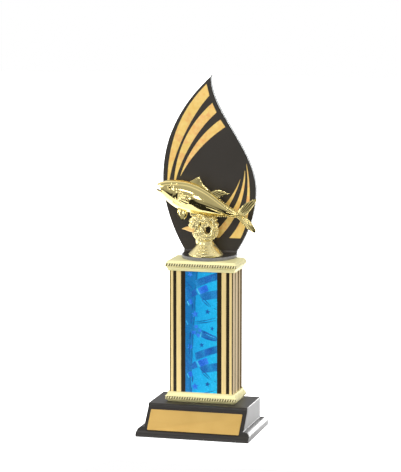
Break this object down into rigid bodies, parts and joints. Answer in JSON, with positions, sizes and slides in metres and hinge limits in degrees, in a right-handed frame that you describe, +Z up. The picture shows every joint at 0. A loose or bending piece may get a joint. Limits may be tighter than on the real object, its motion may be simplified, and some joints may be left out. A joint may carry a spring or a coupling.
{
  "type": "column trophy",
  "caption": "Column trophy: sloped black base with blank plate, foil-wrapped rectangular column between gilt caps, flame-shaped backdrop and a leaping fish figure.",
  "frame": {"origin": "bottom centre of the base, on the surface that the trophy stands on", "axes": "+Z up along the column, the plate and the fish's near side face -Y, the fish's tail points to +X"},
  "size_m": [0.11, 0.082, 0.3375],
  "materials": {
    "base_plastic": "polished black moulded plastic",
    "cast_weight": "cast plaster weight",
    "cover_board": "pressed black board",
    "pad_rubber": "matte rubber",
    "adhesive_tape": "double-sided tape",
    "plate_gold": "satin gold anodised",
    "cap_gold": "gold-metallised plastic",
    "core_plastic": "extruded plastic",
    "striped_foil": "hot-stamped gold foil with black stripes",
    "blue_film": "blue holographic film",
    "clear_acrylic": "clear cast acrylic",
    "black_print": "black screen print",
    "streak_foil": "gold facet foil",
    "figure_gold": "mirror gold-metallised plastic",
    "insert_brass": "turned brass",
    "rod_steel": "zinc-plated steel"
  },
  "bodies": {
    "root": {"base_shell": "base_plastic", "base_fill": "cast_weight", "base_cover": "cover_board", "foot_pads": "pad_rubber", "plaque_tape": "adhesive_tape", "plaque": "plate_gold", "lower_cap": "cap_gold", "column_core": "core_plastic", "column_wrap": "striped_foil", "front_film": "blue_film", "back_film": "blue_film", "upper_cap": "cap_gold", "flame_plate": "clear_acrylic", "flame_print": "black_print", "gold_streaks_left": "streak_foil", "gold_streaks_right": "streak_foil", "riser_front_half": "figure_gold", "riser_back_half": "figure_gold", "fish_front_half": "figure_gold", "fish_back_half": "figure_gold", "figure_insert": "insert_brass", "tie_rod": "rod_steel", "rod_nut": "rod_steel", "rod_washer": "rod_steel"}
  },
  "joints": []
}
